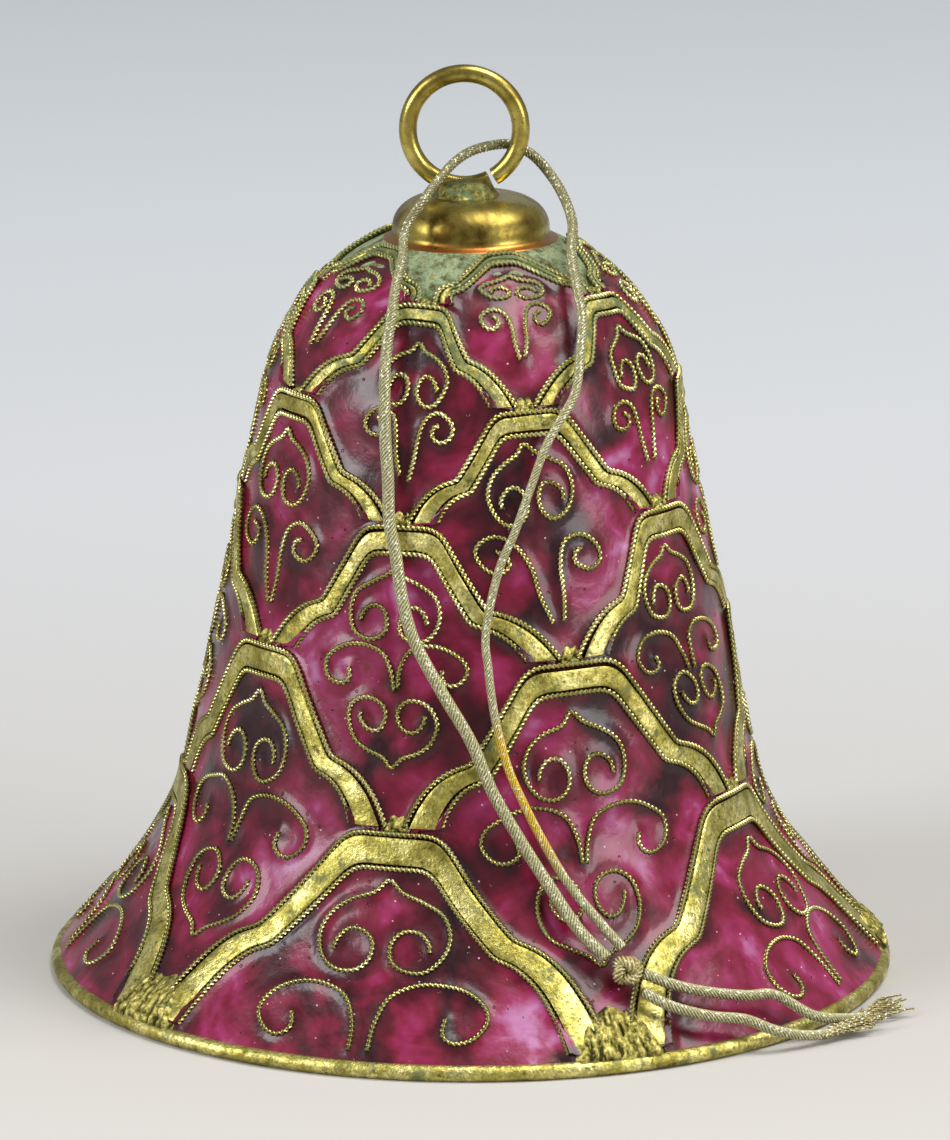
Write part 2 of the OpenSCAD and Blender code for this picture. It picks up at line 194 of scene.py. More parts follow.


# %% [markdown]
# Twisted wire and twisted thread are the same shape at two sizes: strands laid side by side
# that turn round their common middle as they go. A modeller could twist a curve's profile
# point by point. Here the tube is woven straight from numbers, because 3 metres of wire in
# 160 short runs need the same twist everywhere, and because each point can then remember if
# it lies on a strand or in the groove between two. The materials paint the grooves darker from
# this, partly as tarnish that stays when hands rub the rest bright and partly as painted shade.

# %% Weaving a twisted tube
def even_path(points, step, round_off=True):
    """A smooth line through the points, as points an even step apart."""
    p = np.asarray(points, float)
    if round_off:
        p = np.vstack([2 * p[0] - p[1], p, 2 * p[-1] - p[-2]])
        t = np.linspace(0, 1, 10, endpoint=False)[:, None]
        p = np.vstack([0.5 * (2 * b + (c - a) * t + (2 * a - 5 * b + 4 * c - d) * t ** 2
                              + (3 * b - a - 3 * c + d) * t ** 3)
                       for a, b, c, d in zip(p, p[1:], p[2:], p[3:])] + [p[-2:-1]])
    along = lengths(p)
    even = np.linspace(0, along[-1], max(3, round(along[-1] / step) + 1))
    return np.column_stack([np.interp(even, along, p[:, c]) for c in range(p.shape[1])])


def weave(name, paths, radius, sides=8, strands=2, depth=0.5, pitch=0.8, taper=None):
    """One object of tubes along the paths. Its strands turn once round in a pitch."""
    points, faces, proud, start = [], [], [], 0
    spokes = np.arange(sides) * 2 * math.pi / sides
    section = 1 - depth / 2 * (1 - np.cos(strands * spokes))
    for path in paths:
        along = lengths(path)
        tangent = np.gradient(path, axis=0)
        tangent /= np.linalg.norm(tangent, axis=1)[:, None]
        first = np.cross(tangent[0], [0.0, 0.0, 1.0] if abs(tangent[0][2]) < 0.9 else [0.0, 1.0, 0.0])
        side = np.empty_like(path)
        for i, t in enumerate(tangent):
            first = first - t * (first @ t)
            first = first / math.sqrt(first @ first)
            side[i] = first
        up = np.cross(tangent, side)
        angle = spokes[None, :] + 2 * math.pi * along[:, None] / pitch
        size = radius * section[None, :] * (taper(along / along[-1])[:, None] if taper else 1)
        ring = (path[:, None, :] + (size * np.cos(angle))[..., None] * side[:, None, :]
                + (size * np.sin(angle))[..., None] * up[:, None, :])
        n = len(path)
        i, j = np.meshgrid(np.arange(n - 1), np.arange(sides), indexing="ij")
        a, b = start + i * sides + j, start + i * sides + (j + 1) % sides
        faces += np.stack([a, b, b + sides, a + sides], axis=-1).reshape(-1, 4).tolist()
        faces.append(list(range(start + sides - 1, start - 1, -1)))
        faces.append(list(range(start + (n - 1) * sides, start + n * sides)))
        points.append(ring.reshape(-1, 3))
        proud.append(np.tile((section - section.min()) / max(np.ptp(section), 1e-6), n))
        start += n * sides
    mesh = bpy.data.meshes.new(name)
    mesh.from_pydata((np.vstack(points) * MM).tolist(), [], faces)
    o = bpy.data.objects.new(name, mesh)
    bpy.context.scene.collection.objects.link(o)
    note(o, proud=np.concatenate(proud))
    return o


# %% [markdown]
# The hanging thread is one length of twisted metallic cord, 0.8 mm thick. It is doubled, goes
# through the ring, and both legs lie down the front to a knot near the mouth. Past the knot
# the two tails run over the rim and end brushed out. The route is the one that the CAD solid
# follows. The knot is a real overhand turn of the same cord, drawn tight.

# %% The cord's route
CORD_LIFT = 0.9
left_leg = [[21, 6.5], [17.5, 8.5], [13.5, 11.5], [9, 14.5], [4, 17.5], [0, 20.5], [-6, 23.5], [-12, 26.5],
            [-15, 29], [-17, 31.5], [-19, 33.5], [-20, 36], [-21.5, 38.5], [-22.5, 40.5], [-24, 43],
            [-25.5, 45.5], [-28, 47.5], [-31.5, 49.5]]
through_ring = [[-3.95, -5, 47.4], [-2.8, -4, 49.1], [-1.8, -2.2, 50.1], [-0.95, -0.9, 50.8], [0, -0.2, 51.3],
                [1.2, 0.4, 51.55], [2.4, 1, 51.5], [3.7, 1.1, 50.9], [4.8, 0.7, 49.8], [5.7, -0.4, 48.5],
                [6.2, -2.2, 47.2]]
right_leg = [[50.5, 49.5], [40, 47], [36, 45], [31.5, 43], [28, 41], [23, 39.5], [18.5, 38], [14, 35.5],
             [10, 33], [6.5, 31], [4, 28.5], [3, 26.5], [3.5, 25], [4, 23.5], [5, 21.5], [7, 19], [9.5, 17],
             [13, 14.5], [17, 11.5], [21, 9], [24, 7]]
tail_routes = [
    ([[26, 5.2], [30, 4.2], [35, 3.3], [41, 2.5], [46, 2]],
     [[20.6, -17.7, 1.6], [22.3, -16.4, 1], [23.8, -14.8, 0.6], [24.9, -13.3, 0.5]]),
    ([[25, 4], [29, 2.7], [34, 1.7], [39, 1]],
     [[18.3, -20.2, 1.4], [20.1, -19.2, 0.8], [21.6, -17.9, 0.5], [22.9, -16.5, 0.5]])]


def laid(places):
    places = np.array(places, float)
    return on_bell(places[:, 0], places[:, 1], CORD_LIFT)


cord_line = even_path(np.vstack([laid(left_leg), through_ring, laid(right_leg)]), 0.12)
cord_length = lengths(cord_line)[-1]
tail_lines = [even_path(np.vstack([laid(lying), flat]), 0.12) for lying, flat in tail_routes]
print("the loop is", round(cord_length, 1), "mm long; the tails",
      [round(lengths(t)[-1], 1) for t in tail_lines], "mm")

# %% The cord, its knot and its frayed ends
CORD_TWIST = dict(radius=0.38, sides=32, strands=8, depth=0.17, pitch=1.9)
AT, WIDTH = [0, 0.3, 0.42, 0.5, 0.6, 0.72, 0.9, 1], [1, 1, 0.76, 0.84, 0.9, 0.68, 0.7, 0.85]
cord = weave("hanging_cord", [cord_line], taper=lambda q: np.interp(q, AT, WIDTH), **CORD_TWIST)
from_start = np.repeat(lengths(cord_line), CORD_TWIST["sides"])
golden_from, golden_to = cord_length - 16, cord_length - 5
note(cord, gold=np.clip((from_start - golden_from) / 1.5, 0, 1) * np.clip((golden_to - from_start) / 4, 0, 1))

tails = weave("loose_tails", tail_lines, taper=lambda q: np.interp(q, [0, 0.86, 1], [0.92, 0.86, 0.45]),
              **CORD_TWIST)
note(tails, gold=np.zeros(len(tails.data.vertices)))

t = np.linspace(0, 2 * math.pi, 180)
turn_over = np.column_stack([(0.5 + 0.2 * np.cos(3 * t)) * np.cos(2 * t),
                             0.45 * np.sin(3 * t), (0.5 + 0.2 * np.cos(3 * t)) * np.sin(2 * t)])
knot = weave("overhand_knot", [even_path(turn_over * 0.95 + on_bell(23.5, 5.5, CORD_LIFT + 0.1), 0.1, False)],
             radius=0.34, sides=24, strands=6, depth=0.26, pitch=1.6)
note(knot, gold=np.full(len(knot.data.vertices), 0.25))

rng = np.random.default_rng(7)
hairs = []
for line in tail_lines:
    end, ahead = line[-1], (line[-1] - line[-8]) * [1, 1, 0]
    ahead /= np.linalg.norm(ahead)
    aside = np.array([-ahead[1], ahead[0], 0])
    for _ in range(26):
        reach, spread = rng.uniform(3.2, 5.6), rng.uniform(-1.3, 1.1)
        curl, height = rng.uniform(-0.6, 0.6), rng.uniform(-0.1, 0.7)
        q = np.linspace(0, 1, 9)[:, None]
        hair = (end - ahead * 2.6 + aside * rng.uniform(-0.3, 0.3) + ahead * reach * q
                + aside * (spread * q + curl * np.sin(q * rng.uniform(3, 8))) * q
                + np.array([0, 0, 1]) * height * q * (1.6 - q))
        hair[:, 2] = np.maximum(hair[:, 2], 0.12)
        hairs.append(even_path(hair, 0.12))
frays = weave("frayed_ends", hairs, radius=0.15, sides=6, strands=2, depth=0.35, pitch=0.9,
              taper=lambda q: 1 - 0.5 * q)
note(frays, gold=np.full(len(frays.data.vertices), 0.22))

for piece, node in ((cord, "cord"), (tails, "cord_tails"), (knot, "cord_knot"), (frays, "cord_frays")):
    settle(piece, piece.name, [node], sharp=80)
print(len(hairs), "frayed strands; cord triangles", 2 * len(cord.data.polygons))

# %% [markdown]
# The arches were bent by eye and set round the bell by eye, so no two are quite alike. Each
# one is a flat top that bends into a straight side, a small inward cusp, and a lobe that
# comes down to the foot. Two rails, its outer and its inner edge, say where everything on it
# goes: the ribbon lies between them and a twisted wire runs along each.

# %% The arches' rails
FOOT_RUN = [0.7, 15, 25, 33.3, 40.3, 47]
APEX_RUN = [15, 25, 33.3, 40.3, 47, 51.4]
BAND = [2.5, 2.2, 2, 1.8, 1.6, 1.2]
CUSP = [(0.64, 0.53), (0.61, 0.41), (0.55, 0.41), (0.58, 0.41), (0.53, 0.46), (0.74, 0.4)]
RIM_TURN = [-51, 20.5, 92.5, 164.5, 236.5]
APEX_TURN = [[-15, 64, 135, 205, 275], [22, 94, 165, 236, 308], [54, 126, 198, 270, 342],
             [87, 159, 231, 303, 375], [127, 199, 271, 343, 415], [162, 234, 306, 377, 450]]
WIRE = 0.42
FOOT_GAP, SEAT_GAP = 0.3, 0.15
RAIL_STEP = 0.3
ROWS, PER_ROW = 6, 5


def bend(a, b, c, steps):
    t = np.linspace(0, 1, steps)[:, None]
    return (1 - t) ** 2 * a + 2 * (1 - t) * t * b + t * t * c


def half_arch(row, half_turn, share):
    """From the middle of the top down to one foot, as [turn, run]; share 0 is the outer edge."""
    def inward(turn, mm, run):
        return np.array([turn - across(mm, run), run])
    width, rise = BAND[row] * share, APEX_RUN[row] - FOOT_RUN[row]
    top = APEX_RUN[row] - width
    cusp_share, cusp_run = CUSP[row][0], FOOT_RUN[row] + CUSP[row][1] * rise
    corner = inward(0.27 * half_turn, 0.3 * width, top)
    cusp = inward(cusp_share * half_turn, 0.65 * width, cusp_run - 0.5 * width)
    lobe = inward((cusp_share + 0.25) * half_turn, 0.9 * width, cusp_run - 0.05 * rise - 0.5 * width)
    foot = inward(half_turn, FOOT_GAP + 1.3 * width, FOOT_RUN[row] + SEAT_GAP)
    before, after = np.array([corner[0] * 0.7, top]), corner * 0.82 + cusp * 0.18
    return np.vstack([[[0, top]], bend(before, corner, after, 5), bend(cusp, lobe, foot, 9)])


def softened(line):
    """The line with its corners eased twice, as a bent wire has them; the ends stay."""
    for _ in range(2):
        line[1:-1] = (line[:-2] + 2 * line[1:-1] + line[2:]) / 4
    return line


def feet(row):
    turns = RIM_TURN if row == 0 else APEX_TURN[row - 1]
    return [(turns[k], turns[k + 1] if k < PER_ROW - 1 else turns[0] + 360) for k in range(PER_ROW)]


def make_rails(row, k):
    """An arch's outer and inner edge, which keep step, and the number of the point at its apex."""
    left, right = feet(row)[k]
    apex = APEX_TURN[row][k]
    wobble = np.random.default_rng(100 + 10 * row + k).uniform(-1, 1, (2, 4))
    edges = [[half_arch(row, apex - left, share) * [-1, 1], half_arch(row, right - apex, share)]
             for share in (0, 1)]
    mm_a_degree = math.radians(skin(12)[0])
    counts = [round(lengths(half * [mm_a_degree, 1])[-1] / RAIL_STEP) for half in edges[0]]
    size = lengths(half_arch(row, 30, 0.5) * [0.3, 1])
    rails = []
    for halves in edges:
        lines = []
        for half, count in zip(halves, counts):
            at = np.arange(len(half))
            fine = np.interp(np.linspace(0, size[-1], count), size, at)
            lines.append(np.column_stack([np.interp(fine, at, half[:, c]) for c in (0, 1)]))
        line = np.vstack([lines[0][::-1], lines[1][1:]])
        q = np.linspace(0, 1, len(line))
        waves = [sum(w * np.sin(math.pi * (n + 2) * q + 3 * w) for n, w in enumerate(ws)) for ws in wobble]
        fade = np.sin(math.pi * q) ** 0.7 * 0.075
        line[:, 0] += across(waves[0] * fade, line[:, 1])
        line[:, 1] += waves[1] * fade
        line = softened(line)
        line[:, 0] += apex
        rails.append(line)
    return rails[0], rails[1], counts[0] - 1


RAILS = [[make_rails(row, k) for k in range(PER_ROW)] for row in range(ROWS)]


def along_arch(row, k, mm):
    """The line on an arch that keeps this distance from its outer edge."""
    outer, inner, _ = RAILS[row][k]
    share = np.asarray(mm) / BAND[row]
    share = share[:, None] if share.ndim else share
    return outer * (1 - share) + inner * share


def lift(row, count):
    """How far an arch stands off the skin: its top is raised, its feet lie flat."""
    return 0.14 * np.sin(np.linspace(0, math.pi, count)) ** 2


print("rails for", ROWS * PER_ROW, "arches,", sum(len(r[0]) for row in RAILS for r in row), "points a side")

# %% [markdown]
# A ribbon on the real bell is a rolled strip half a millimetre thick. A flat grid is carried
# to its place between the rails, given its thickness by Solidify and its soft rubbed edge by
# Bevel. The gap to the wires beside it comes and goes, because the strips were laid by hand,
# and that thin dark line is what makes the gold read as separate pieces.

# %% The gilt ribbons
def bent_grid(name, surface):
    """A grid primitive whose points are carried to surface[row, column], in millimetres."""
    rows, columns = surface.shape[0] - 1, surface.shape[1] - 1
    let_go()
    bpy.ops.mesh.primitive_grid_add(x_subdivisions=columns, y_subdivisions=rows, size=1)
    o = bpy.context.object
    o.name = name
    flat = points_of(o) + 0.5
    i, j = np.rint(flat[:, 1] * rows).astype(int), np.rint(flat[:, 0] * columns).astype(int)
    move_points(o, surface[i, j] * MM)
    return o, i, j


def ribbon(row, k):
    outer, _, _ = RAILS[row][k]
    count = len(outer)
    gaps = np.random.default_rng(300 + 10 * row + k).uniform(0, 6.28, 4)
    q = np.linspace(0, 1, count)
    gap_out = 0.065 + 0.08 * np.sin(9 * q + gaps[0]) * np.sin(4 * q + gaps[1])
    gap_in = 0.03 + 0.05 * np.sin(8 * q + gaps[2]) * np.sin(5 * q + gaps[3])
    from_in, from_out = BAND[row] - WIRE - gap_in, WIRE + gap_out
    columns = [0, 0.05, 0.2, 0.4, 0.6, 0.8, 0.95, 1]
    crown = [-0.05, -0.01, 0.01, 0.02, 0.02, 0.02, 0.0, -0.04]
    sheet = []
    for c, high in zip(columns, crown):
        line = along_arch(row, k, from_in * (1 - c) + from_out * c)
        rough = wander(on_bell(line[:, 0], line[:, 1]), 1.3, c)
        high = high + 0.05 * rough + lift(row, count) * (0.4 + 0.6 * c)
        sheet.append(on_bell(line[:, 0], line[:, 1], high))
    o, _, _ = bent_grid(f"ribbon_{row}_{k}", np.array(sheet))
    modify(o, "SOLIDIFY", thickness=0.45 * MM, offset=-1)
    modify(o, "BEVEL", width=0.05 * MM, segments=2, limit_method="ANGLE", angle_limit=math.radians(50))
    return o


gilt_pieces = []
for row in range(ROWS - 1):
    for k in range(PER_ROW):
        gilt_pieces.append(settle(ribbon(row, k), f"gilt_ribbon_{row + 1}_{k + 1}",
                                  [f"arch_{row + 1}_{k + 1}"]))
gilt_pieces.append(settle(joined([ribbon(ROWS - 1, k) for k in range(PER_ROW)]), "gilt_ribbons_6",
                          ["arch_row_6"]))
print(len(gilt_pieces), "ribbon pieces")

# %% [markdown]
# The edge wires are two strands of fine wire twisted together, 0.42 mm over both. One runs
# along each edge of every ribbon, a little proud of it. A row of them is one piece, as they
# were soldered on together.

# %% The twisted edge wires
WIRE_TWIST = dict(radius=0.2, sides=8, strands=2, depth=0.4, pitch=0.62)


def edge_wire(row, k, mm, high):
    line = along_arch(row, k, mm)
    raised = lift(row, len(line)) * (0.4 + 0.6 * (1 - mm / BAND[row]))
    return even_path(on_bell(line[:, 0], line[:, 1], high + raised), 0.11)


wire_pieces = []
for row in range(ROWS):
    lines = [edge_wire(row, k, mm, high) for k in range(PER_ROW)
             for mm, high in ((0.21, -0.08), (BAND[row] - 0.21, -0.14))]
    wires = weave(f"edge_wire_ring_{row + 1}", lines, **WIRE_TWIST)
    wire_pieces.append(settle(wires, wires.name, [f"edge_wires_row_{row + 1}"], sharp=80))
print("edge wire:", round(sum(len(p.data.vertices) for p in wire_pieces) / 8 * 0.11), "mm in all")

# %% [markdown]
# Inside every arch the maker bent a heart with curled-in ends, with a pair of scrolls below
# it. The two widest rows below the waist have a second heart that hangs upside down. Each
# outline is drawn once in shares of its own width and height, then stretched to its row. The
# real ones vary from field to field, so each gets its own small turn, shift and stretch.

# %% The filigree
HEART = [(4.2, 6.1, 11.8), (3.4, 16.8, 22), (2.85, 26.5, 30.8), (2.85, 33.6, 38), (2.25, 40.7, 44.6),
         (2, 47.5, 49.3)]
SCROLL = [(7.2, 1.2, 5.5), (6.1, 12.6, 16.1), (4.7, 23.3, 25.9), (4.2, 27.4, 32.5), (3, 36, 40.1),
          (2.4, 43.4, 46.9)]
LOW_HEART = [None, (3.4, 11.8, 6.2), (2.8, 22.7, 18.6), None, None, None]
HEART_LINE = [[0, 1], [0.21, 0.87], [0.55, 0.77], [0.86, 0.62], [1, 0.38], [0.92, 0.14], [0.68, 0.01],
              [0.38, 0], [0.17, 0.13], [0.15, 0.32], [0.31, 0.45], [0.54, 0.45], [0.71, 0.33], [0.73, 0.22]]
WIDE_SCROLL = [[0.05, 0], [0.08, 0.42], [0.18, 0.83], [0.38, 1], [0.6, 1], [0.8, 0.88], [0.96, 0.65],
               [1, 0.38], [0.91, 0.15], [0.76, 0.1], [0.65, 0.25], [0.66, 0.47]]
STEM_SCROLL = [[0.1, 0], [0.2, 0.32], [0.24, 0.62], [0.36, 0.89], [0.6, 1], [0.84, 0.96], [1, 0.82],
               [0.95, 0.66], [0.74, 0.58], [0.55, 0.66], [0.56, 0.79], [0.7, 0.84]]
FILIGREE_AT = -0.14


def drawn(outline, size, row, k, way=1):
    """An outline at its size, narrower in a narrow field, its foot leaning to the valley below."""
    width, low, high = size
    left, right = feet(row)[k]
    apex = APEX_TURN[row][k]
    fit = min(1, min(apex - left, right - apex) / 35)
    p = np.array(outline, float)
    run = low + p[:, 1] * (high - low)
    valley = feet(row - 1)[k][1] - apex if row else 0
    lean = np.clip((HEART[row][1] - run) / (HEART[row][1] - FOOT_RUN[max(row - 1, 0)]), 0, 1)
    return np.column_stack([way * p[:, 0] * width * fit + lean * np.radians(valley) * skin(run)[0], run])


def filigree_lines(row, k):
    """Each wire of one field, as [millimetres across from the arch's middle, run]."""
    scroll = WIDE_SCROLL if row < 3 else STEM_SCROLL
    hearts = [h for h in (HEART[row], LOW_HEART[row]) if h]
    lines = []
    for size in hearts:
        left, right = (drawn(HEART_LINE, size, row, k, way) for way in (-1, 1))
        lines.append(np.vstack([left[:0:-1], right]))
    lines += [drawn(scroll, SCROLL[row], row, k, way) for way in (-1, 1)]
    hand = np.random.default_rng(500 + 10 * row + k)
    bent = []
    for line in lines:
        middle = line.mean(axis=0)
        turn, (sx, sy), shift = hand.normal(0, 0.035), hand.normal(1, 0.03, 2), hand.normal(0, 0.1, 2)
        p = (line - middle) * [sx, sy]
        p = p @ np.array([[math.cos(turn), math.sin(turn)], [-math.sin(turn), math.cos(turn)]])
        p += hand.normal(0, 0.035, p.shape)
        bent.append(p + middle + shift)
    return bent


FILIGREE = [[filigree_lines(row, k) for k in range(PER_ROW)] for row in range(ROWS)]
filigree_pieces = []
for row in range(ROWS):
    lines = []
    for k in range(PER_ROW):
        for line in FILIGREE[row][k]:
            smooth = even_path(line, 0.11)
            turns = APEX_TURN[row][k] + across(smooth[:, 0], smooth[:, 1])
            lines.append(on_bell(turns, smooth[:, 1], FILIGREE_AT))
    wires = weave(f"filigree_ring_{row + 1}", lines, **{**WIRE_TWIST, "radius": 0.18})
    filigree_pieces.append(settle(wires, wires.name, [f"filigree_row_{row + 1}"], sharp=80))
print("filigree triangles:", [2 * len(p.data.polygons) for p in filigree_pieces])

# %% [markdown]
# Enamel is ground glass melted into each field. It sinks a little as it melts, climbs every
# wire it touches, and stays uneven between firings. A grid spans each field from the ribbons
# below it to its own ribbon. Its height follows the distance to the nearest wire, and each
# point remembers that distance, because the glass is coloured darker beside the wires and
# clouded in the open.

# %% The enamel fields
def even(line, count):
    along = lengths(line * [0.28, 1])
    at = np.linspace(0, along[-1], count)
    return np.column_stack([np.interp(at, along, line[:, c]) for c in (0, 1)])


def lower_edge(row, k, count):
    if row == 0:
        left, right = feet(0)[k]
        return np.column_stack([np.linspace(left, right, count), np.full(count, 0.2)])
    left_line, apex = along_arch(row - 1, k, 0.21), RAILS[row - 1][k][2]
    after = (k + 1) % PER_ROW
    right_line = along_arch(row - 1, after, 0.21) + [360 if after == 0 else 0, 0]
    return even(np.vstack([left_line[apex:], right_line[:RAILS[row - 1][after][2] + 1]]), count)


def flat_mm(places, middle):
    return np.column_stack([np.radians(places[:, 0] - middle) * skin(places[:, 1])[0], places[:, 1]])


def nearest(places, others):
    return np.concatenate([np.sqrt(((part[:, None, :] - others[None, :, :]) ** 2).sum(-1).min(1))
                           for part in np.array_split(places, 8)])


def field(row, k):
    columns, rows = [(120, 44), (110, 48), (96, 40), (84, 36), (76, 34), (64, 26)][row]
    top = even(along_arch(row, k, BAND[row] - 0.2), columns + 1)
    bottom = lower_edge(row, k, columns + 1)
    v = np.linspace(0, 1, rows + 1)[:, None, None]
    places = (bottom[None] * (1 - v) + top[None] * v).reshape(-1, 2)
    middle = APEX_TURN[row][k]
    flat = flat_mm(places, middle)
    edges = (top, bottom) if row else (top,)
    edge_gap = nearest(flat, np.vstack([flat_mm(edge, middle) for edge in edges]))
    wire_gap = nearest(flat, np.vstack([even_path(line, 0.25) for line in FILIGREE[row][k]]))
    gap = np.minimum(edge_gap, wire_gap)
    swell = wander(on_bell(places[:, 0], places[:, 1]), 2.6)
    out = -0.27 + 0.12 * np.exp(-(gap / 0.38) ** 2) + 0.06 * swell
    surface = on_bell(places[:, 0], places[:, 1], out).reshape(rows + 1, columns + 1, 3)
    o, i, j = bent_grid(f"field_{row}_{k}", surface)
    note(o, open_glass=(1 - np.exp(-gap / 1.1))[i * (columns + 1) + j])
    modify(o, "SOLIDIFY", thickness=0.22 * MM, offset=-1)
    return o


enamel_pieces = []
for row in range(ROWS):
    rows_of_glass = joined([field(row, k) for k in range(PER_ROW)])
    enamel_pieces.append(settle(rows_of_glass, f"enamel_{row + 1}", [f"enamel_row_{row + 1}"], 60))
print("enamel triangles:", [2 * len(p.data.polygons) for p in enamel_pieces])

# %% [markdown]
# Everything round on the bell was turned or spun: the copper shell, the cap, the saddle of
# solder. A circle is raised ring by ring by extrude and resize, which is the lathe's way, and
# its last ring is merged to a point where the shape closes on the axis.

# %% Turning
def turned(name, rings, segments=128, middle_x=0):
    """A round shape from rings of (radius, height), the first one lowest."""
    let_go()
    bpy.ops.mesh.primitive_circle_add(vertices=segments, radius=rings[0][0] * MM,
                                      location=(middle_x * MM, 0, rings[0][1] * MM))
    o = bpy.context.object
    o.name = name
    bpy.ops.object.mode_set(mode="EDIT")
    bpy.ops.mesh.select_all(action="SELECT")
    for (r0, z0), (r1, z1) in zip(rings, rings[1:]):
        bpy.ops.mesh.extrude_region_move(TRANSFORM_OT_translate={"value": (0, 0, (z1 - z0) * MM)})
        bpy.ops.transform.resize(value=(r1 / r0, r1 / r0, 1), center_override=(middle_x * MM, 0, 0))
    bpy.ops.mesh.merge(type="CENTER")
    face_outwards()
    return o


# %% The copper shell
shell_runs = np.append(np.linspace(0.1, FULL_RUN, 70), FULL_RUN)
crust = np.clip((shell_runs - 47) / 2, 0, 1) * 0.3
rings = [tuple(map(float, skin(s, -0.55 + c))) for s, c in zip(shell_runs, crust)]
rings[-1] = (rings[-2][0] * 0.5, rings[-2][1] + 0.02)
shell = turned("copper_shell", rings, 160)
modify(shell, "SOLIDIFY", thickness=0.45 * MM, offset=-1)
settle(shell, "copper_shell", ["bell_shell"])
print("shell from", round(rings[0][1], 2), "to", round(rings[-1][1], 2), "mm")

# %% [markdown]
# A round brass wire closes the mouth, and the bell stands on it, so its underside is worn to
# a narrow flat. A torus is cut by a plane at the floor and the cut is bridged.

# %% The rim bead
let_go()
bpy.ops.mesh.primitive_torus_add(major_radius=25.75 * MM, minor_radius=0.5 * MM, major_segments=224,
                                 minor_segments=20, location=(0, 0, 0.46 * MM))
bead = bpy.context.object
bpy.ops.object.mode_set(mode="EDIT")
bpy.ops.mesh.select_all(action="SELECT")
bpy.ops.mesh.bisect(plane_co=(0, 0, 0), plane_no=(0, 0, 1), clear_inner=True, threshold=1e-7)
select_open_edges()
bpy.ops.mesh.bridge_edge_loops()
face_outwards()
settle(bead, "rim_bead_wire", ["rim_bead"])
print("bead:", len(bead.data.polygons), "faces")

# %% [markdown]
# The cap is a small dome pressed from thin brass. Its foot flares into a narrow flange where it
# sits on the shoulder. A thin wall is added inwards.

# %% The cap
CAP_TOP, CAP_FOOT, CAP_R = 48.6, 45.7, 5.4
dome = [(CAP_R, CAP_FOOT), (CAP_R + 0.03, CAP_FOOT + 0.1), (CAP_R, CAP_FOOT + 0.22),
        (CAP_R - 0.15, CAP_FOOT + 0.32), (CAP_R - 0.35, CAP_FOOT + 0.4),
        (CAP_R - 0.5, CAP_FOOT + 0.54), (CAP_R - 0.56, CAP_FOOT + 0.74)]
bulge, low = CAP_R - 0.57, CAP_FOOT + 0.95
dome += [(2.3 + (bulge - 2.3) * math.cos(a), low + (CAP_TOP - low) * math.sin(a))
         for a in np.radians(np.arange(0, 90, 6))]
dome += [(2.0, CAP_TOP + 0.005), (1.2, CAP_TOP + 0.01), (0.5, CAP_TOP + 0.01), (0.1, CAP_TOP + 0.01)]
cap = turned("cap", dome)
modify(cap, "SOLIDIFY", thickness=0.35 * MM, offset=-1)
settle(cap, "brass_cap", ["crown_cap"], sharp=60)
print("cap", round(2 * CAP_R, 1), "mm wide")

# %% [markdown]
# The hanging ring is a length of brass wire bent round and left open. A disc of the wire's
# size is spun about the ring's middle, stopping short of a full turn, so the cut ends show.

# %% The hanging ring
RING_X, RING_Z, RING_R, RING_WIRE = -0.4, 52.65, 3.45, 0.55
SPLIT, OPENING = math.radians(-66), math.radians(5)
start = SPLIT + OPENING / 2
let_go()
bpy.ops.mesh.primitive_circle_add(
    vertices=28, radius=RING_WIRE * MM, fill_type="NGON", rotation=(0, math.pi / 2, 0),
    location=((RING_X + RING_R * math.cos(start)) * MM, 0, (RING_Z + RING_R * math.sin(start)) * MM))
ring = bpy.context.object
ring.rotation_mode = "QUATERNION"
ring.rotation_quaternion = Vector((0, 0, 1)).rotation_difference(
    Vector((-math.sin(start), 0, math.cos(start))))
bpy.ops.object.transform_apply(location=True, rotation=True, scale=True)
bpy.ops.object.mode_set(mode="EDIT")
bpy.ops.mesh.select_all(action="SELECT")
bpy.ops.mesh.spin(steps=112, angle=2 * math.pi - OPENING, center=(RING_X * MM, 0, RING_Z * MM),
                  axis=(0, -1, 0))
select_open_edges()
if bpy.context.object.data.total_edge_sel:
    bpy.ops.mesh.edge_face_add()
face_outwards()
modify(ring, "BEVEL", width=0.05 * MM, segments=2, limit_method="ANGLE", angle_limit=math.radians(60))
settle(ring, "split_ring", ["hanging_ring"])
low_z, high_z = points_of(ring)[:, 2].min() / MM, points_of(ring)[:, 2].max() / MM
print("ring from", round(low_z, 2), "to", round(high_z, 2), "mm")

# %% [markdown]
# Solder was run in twice: a saddle that holds the ring on the cap, and rough lumps where the
# ribbons' feet meet, largest at the rim, drawn into upright strings as it set. The saddle is
# turned and then pushed about; a lump is a grid laid on the bell and raised by noise.

# %% The solder
def pushed(o, size, amount):
    points = points_of(o)
    moved = [Vector(p) + Vector(noise.noise_vector(Vector(p) / (size * MM))) * amount * MM for p in points]
    move_points(o, np.array(moved))


saddle_rings = [(2.15, CAP_TOP - 0.1), (2, CAP_TOP + 0.12), (1.85, CAP_TOP + 0.35), (1.75, CAP_TOP + 0.6),
                (1.55, CAP_TOP + 0.82), (1.05, CAP_TOP + 0.96), (0.4, CAP_TOP + 0.98)]
saddle = turned("saddle", saddle_rings, 48, RING_X)
modify(saddle, "SUBSURF", levels=1, render_levels=1)
pushed(saddle, 0.9, 0.14)
saddle_points = points_of(saddle)
near_top = np.clip((saddle_points[:, 2] / MM - CAP_TOP) / 0.7, 0, 1)
saddle_points[:, 0] += (saddle_points[:, 0] - RING_X * MM) * 0.22 * near_top
saddle_points[:, 2] -= 0.1 * MM * near_top * np.cos((saddle_points[:, 0] / MM - RING_X) * 1.6)
move_points(saddle, saddle_points)
note(saddle, proud=np.full(len(saddle_points), 0.3))
settle(saddle, "ring_solder_saddle", ["ring_solder"], sharp=80)


